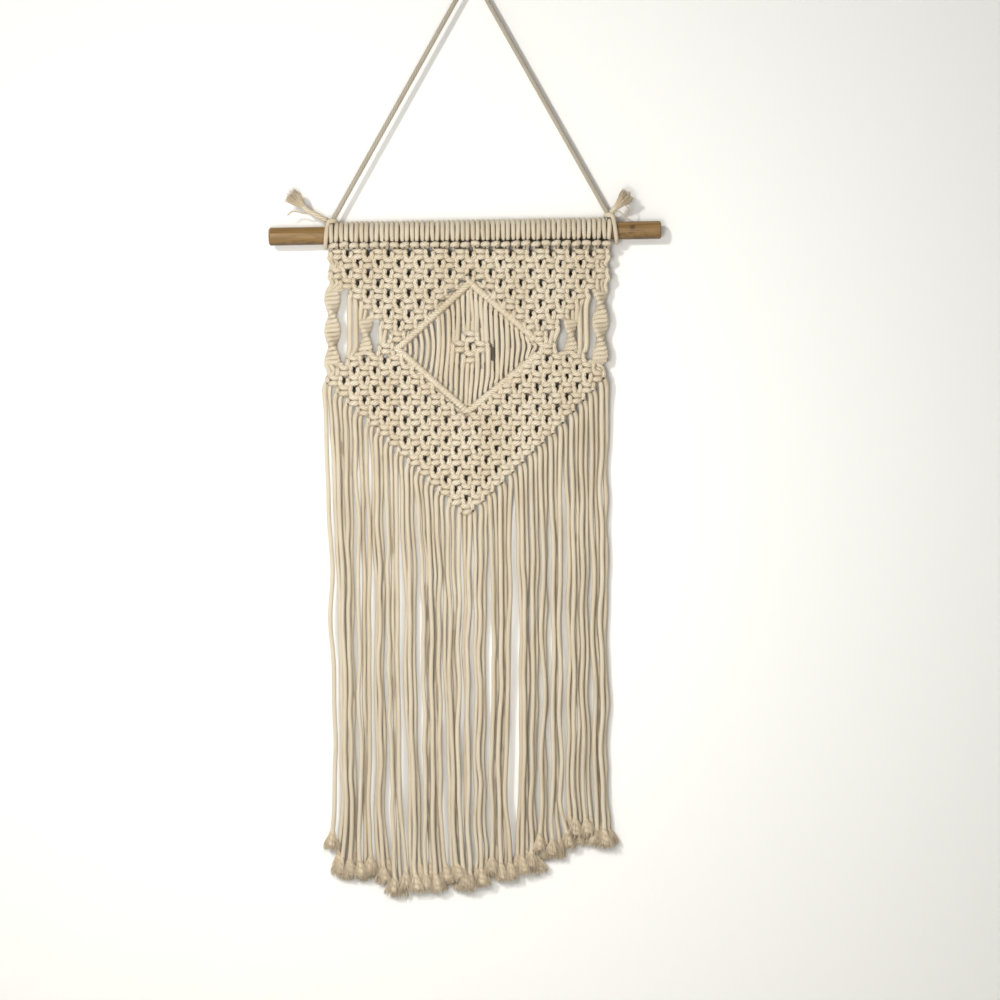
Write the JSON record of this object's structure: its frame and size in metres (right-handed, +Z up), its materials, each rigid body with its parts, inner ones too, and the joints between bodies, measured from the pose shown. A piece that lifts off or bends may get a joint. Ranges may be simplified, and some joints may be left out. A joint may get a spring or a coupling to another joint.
{
  "type": "macrame wall hanging on a wooden dowel",
  "caption": "Knotted cotton wall hanging: pointed macrame panel with a hitched diamond, long loose fringe and a cord hanger, on a round wooden dowel.",
  "frame": {"origin": "hanging point: the underside of the hanger cord's bend, where a hook or nail carries it", "axes": "+Z up, the front of the hanging faces -Y and the wall is behind it at +Y, +X to the viewer's right"},
  "size_m": [0.3052, 0.0242, 0.7134],
  "materials": {
    "wood": "satin, lightly oiled",
    "cotton_cord": "matte natural cotton"
  },
  "bodies": {
    "root": {"dowel": "wood", "hanger_cord": "cotton_cord", "hitch_left": "cotton_cord", "hitch_right": "cotton_cord", "header": "cotton_cord", "panel": "cotton_cord", "fringe": "cotton_cord"}
  },
  "joints": []
}
